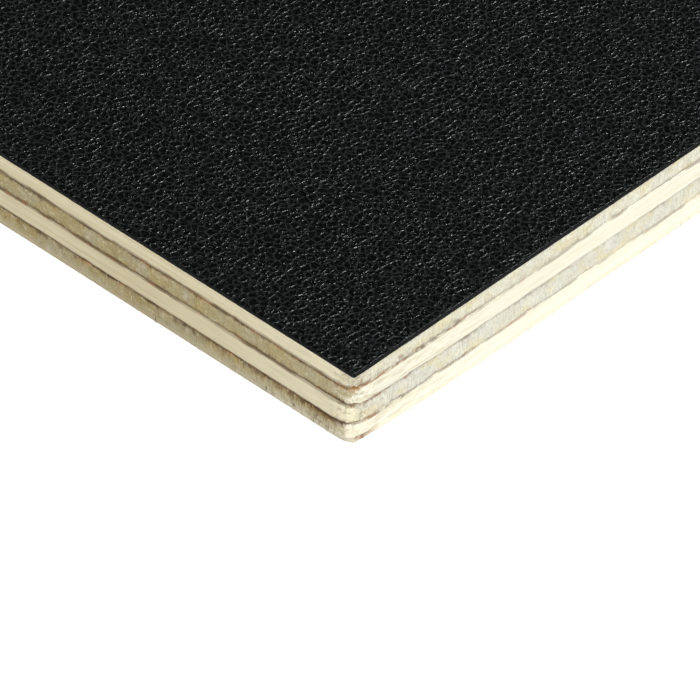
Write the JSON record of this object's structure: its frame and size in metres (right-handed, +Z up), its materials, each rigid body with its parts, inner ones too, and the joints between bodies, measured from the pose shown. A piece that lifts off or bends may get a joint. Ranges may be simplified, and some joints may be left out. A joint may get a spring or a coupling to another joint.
{
  "type": "plastic-faced plywood sheet",
  "caption": "Flat rectangular plywood sheet with cross-laid wood veneers showing on its sawn edges and an embossed black plastic film on top, cut as panels for cases, floors and linings.",
  "frame": {"origin": "under the middle of the sheet, on the surface that it lies on", "axes": "+X along the long side and the grain of the face veneer, +Y along the short side, +Z up out of the film"},
  "size_m": [0.6, 0.3, 0.0069],
  "materials": {
    "film": "fine embossed grain with a satin sheen",
    "veneer_along": "pale, sawn, grain along the sheet",
    "veneer_across": "pale, sawn, grain across the sheet, darker where its end grain shows",
    "veneer_back": "pale, sanded, grain along the sheet"
  },
  "bodies": {
    "root": {"face_film": "film", "face_veneer": "veneer_along", "upper_crossband": "veneer_across", "core_veneer": "veneer_along", "lower_crossband": "veneer_across", "back_veneer": "veneer_back"}
  },
  "joints": []
}
